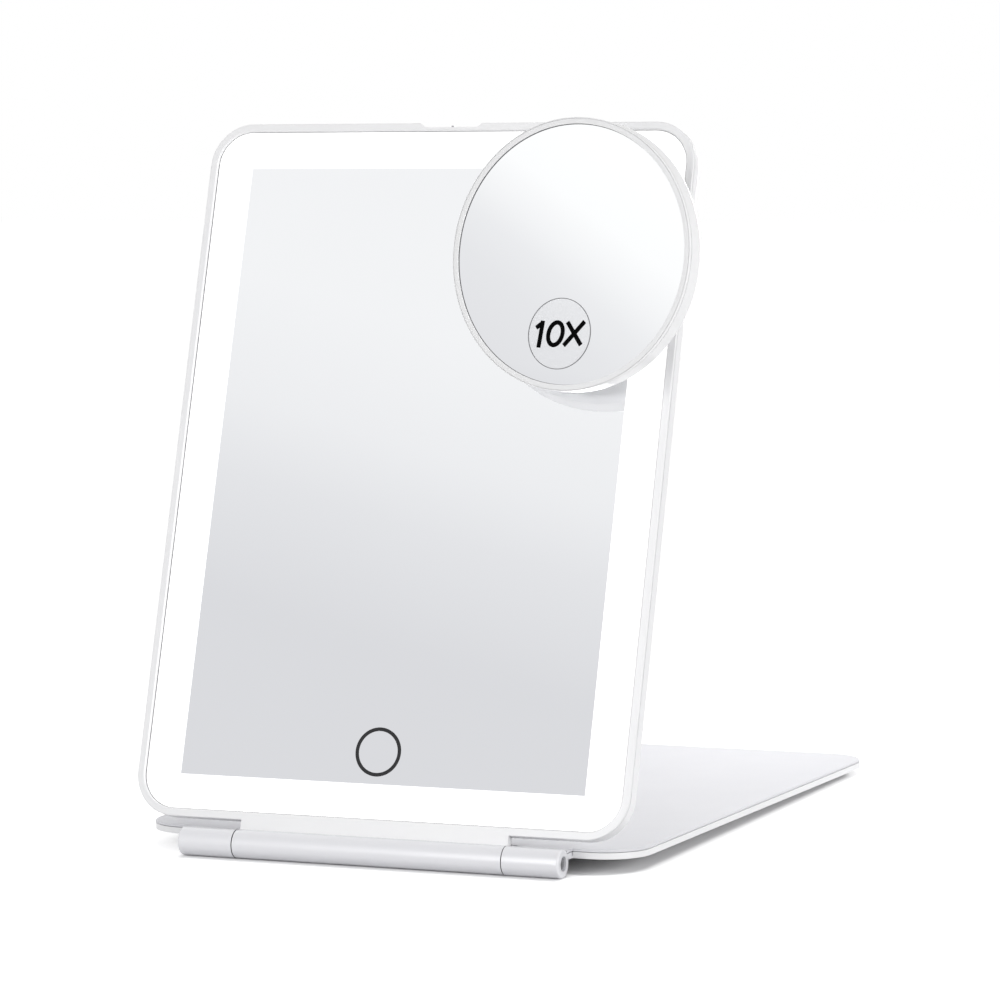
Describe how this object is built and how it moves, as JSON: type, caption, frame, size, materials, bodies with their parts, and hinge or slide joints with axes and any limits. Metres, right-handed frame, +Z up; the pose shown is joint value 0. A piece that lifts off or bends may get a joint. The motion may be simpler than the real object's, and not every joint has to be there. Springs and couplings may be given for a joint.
{
  "type": "lighted folding makeup mirror",
  "caption": "Flat lit mirror panel that stands on its own folding cover plate, with a touch key and a round magnifier on a suction ball mount.",
  "frame": {"origin": "on the table, below the middle of the hinge barrel", "axes": "+X along the hinge to the right as seen from the front, +Y from the mirror's face to the rear along the base, +Z up"},
  "size_m": [0.1835, 0.2456, 0.2334],
  "materials": {
    "casing_white": "satin white moulding",
    "plate_white": "fine satin white",
    "barrel_white": "smooth white paint",
    "magnifier_white": "gloss white moulding",
    "bush_plastic": "self-lubricating grey plastic",
    "steel": "plain steel",
    "magnet": "nickel plate",
    "pane": "polished float glass, frosted at the border",
    "silver": "silvered",
    "opal": "opal diffuser",
    "foam": "white foam",
    "black_print": "black print",
    "copper": "copper foil",
    "circuit_board": "white solder mask",
    "lamp": "phosphor lens",
    "chip_black": "moulded epoxy",
    "cell": "laminate pouch",
    "lead": "red insulation",
    "soft_rubber": "soft translucent white",
    "foot_rubber": "grey-white rubber"
  },
  "bodies": {
    "base": {"base_top_plate": "plate_white", "base_lower_plate": "casing_white", "left_knuckle": "barrel_white", "right_knuckle": "barrel_white", "knuckle_screws": "steel", "hinge_pin": "steel", "plate_magnets": "magnet", "rear_feet": "foot_rubber"},
    "mirror_panel": {"front_frame": "casing_white", "rear_shell": "casing_white", "middle_knuckle": "barrel_white", "friction_sleeves": "steel", "leaf_screws": "steel", "charge_light": "black_print", "mirror_glass": "pane", "silver_coating": "silver", "touch_ring": "black_print", "touch_electrode": "copper", "diffuser_frame": "opal", "mirror_pad": "foam", "light_tray": "casing_white", "lamp_strip_left": "circuit_board", "lamp_strip_right": "circuit_board", "lamp_strip_lower": "circuit_board", "lamp_strip_upper": "circuit_board", "lamps": "lamp", "shell_screws": "steel", "battery": "cell", "battery_leads": "lead", "control_board": "circuit_board", "board_parts": "chip_black", "charge_port": "steel", "port_board": "circuit_board", "panel_magnets": "magnet"},
    "magnifier_mount": {"suction_cup": "soft_rubber", "cup_cap": "magnifier_white", "ball_stud": "steel"},
    "ball_bush": {"swivel_bush": "bush_plastic"},
    "magnifier": {"magnifier_back": "magnifier_white", "socket_ring": "magnifier_white", "magnifier_pad": "foam", "magnifier_mirror": "silver", "magnifier_rim": "magnifier_white"}
  },
  "joints": [
    {"name": "panel_hinge", "type": "hinge", "parent": "base", "child": "mirror_panel", "pos_m": [0, 0, 0.0046], "axis": [1, 0, 0], "range_deg": [-12, 268]},
    {"name": "magnifier_pull_off", "type": "slide", "parent": "mirror_panel", "child": "magnifier_mount", "axis": [0, -0.9554, 0.2952], "range_m": [0, 0.012]},
    {"name": "magnifier_turn", "type": "hinge", "parent": "magnifier_mount", "child": "ball_bush", "pos_m": [0.05618, 0.04787, 0.18927], "axis": [0, 0.2952, 0.9554], "range_deg": [-2.4, 19.6]},
    {"name": "magnifier_tip", "type": "hinge", "parent": "ball_bush", "child": "magnifier", "pos_m": [0.05618, 0.04787, 0.18927], "axis": [0.9888, -0.1427, 0.0441], "range_deg": [-20.25, 1.75]}
  ]
}
